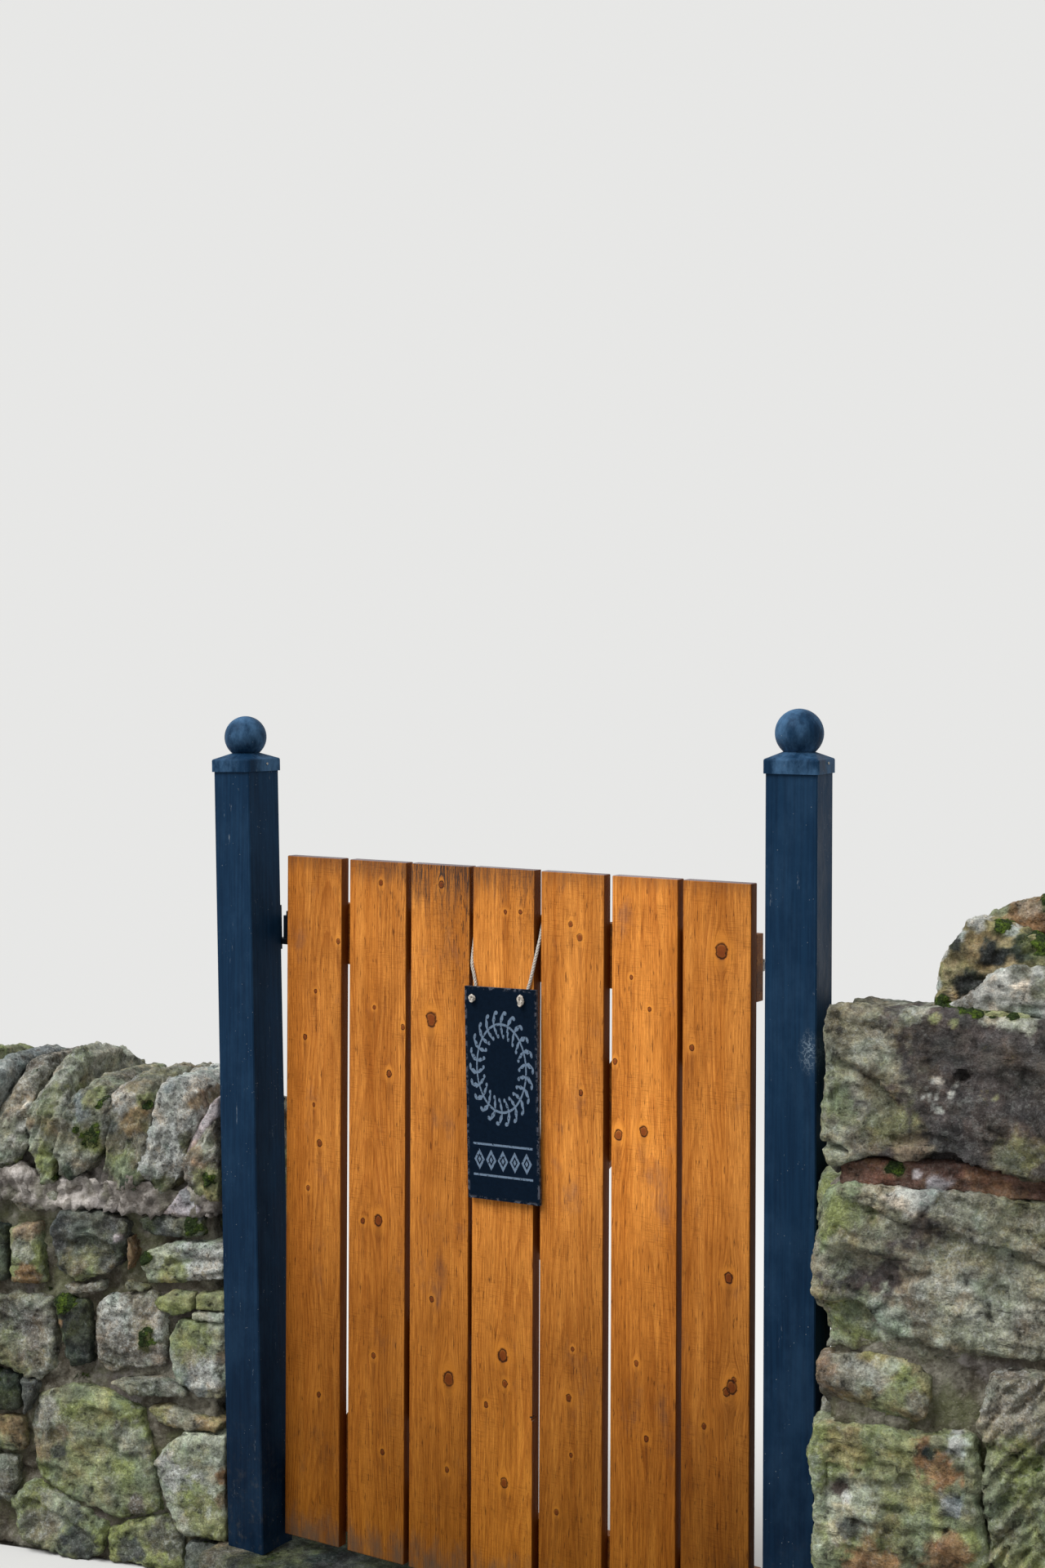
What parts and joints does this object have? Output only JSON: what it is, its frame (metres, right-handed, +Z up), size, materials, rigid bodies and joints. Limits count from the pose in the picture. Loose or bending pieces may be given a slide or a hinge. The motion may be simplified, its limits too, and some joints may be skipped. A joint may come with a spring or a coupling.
{
  "type": "stone wall gateway with boarded timber gate",
  "caption": "Gateway in a rubble stone wall: a boarded timber gate on hook-and-band hinges between square painted posts with ball caps, with a slate sign on twine.",
  "frame": {"origin": "on the ground under the middle of the closed gate, in the plane of the fronts of its boards", "axes": "+X along the gate from its hinged side to its latch side, +Y through the gateway away from the side the board fronts face, +Z up"},
  "size_m": [3.1341, 0.6877, 1.592],
  "materials": {
    "sandstone": "rough, mossy",
    "post_paint": "painted, matt",
    "hinge_paint": "matt",
    "bolt_steel": "satin",
    "stained_boards": "stained, weathered",
    "stained_ledges": "stained",
    "slate": "riven, matt",
    "twine": "twisted fibre"
  },
  "bodies": {
    "gateway": {"threshold_stone": "sandstone", "left_wall": "sandstone", "right_wall": "sandstone", "right_top_stone_1": "sandstone", "right_top_stone_2": "sandstone", "right_cope_1": "sandstone", "right_cope_2": "sandstone", "right_cope_3": "sandstone", "coping_stone_1": "sandstone", "coping_stone_2": "sandstone", "coping_stone_3": "sandstone", "coping_stone_4": "sandstone", "coping_stone_5": "sandstone", "coping_stone_6": "sandstone", "coping_stone_7": "sandstone", "coping_stone_8": "sandstone", "coping_stone_9": "sandstone", "coping_stone_10": "sandstone", "left_post": "post_paint", "right_post": "post_paint", "left_cap": "post_paint", "right_cap": "post_paint", "left_ball": "post_paint", "right_ball": "post_paint", "upper_hook": "hinge_paint", "lower_hook": "hinge_paint", "bolt_keep": "bolt_steel"},
    "gate": {"board_1": "stained_boards", "board_2": "stained_boards", "board_3": "stained_boards", "board_4": "stained_boards", "board_5": "stained_boards", "board_6": "stained_boards", "board_7": "stained_boards", "upper_ledge": "stained_ledges", "lower_ledge": "stained_ledges", "brace": "stained_ledges", "upper_strap": "hinge_paint", "lower_strap": "hinge_paint", "bolt_plate": "bolt_steel", "bolt_bar": "bolt_steel", "slate_sign": "slate", "twine": "twine"}
  },
  "joints": [
    {"name": "gate_hinge", "type": "hinge", "parent": "gateway", "child": "gate", "pos_m": [-0.50025, 0.055, 0.7], "axis": [0, 0, 1], "range_deg": [0, 90]}
  ]
}
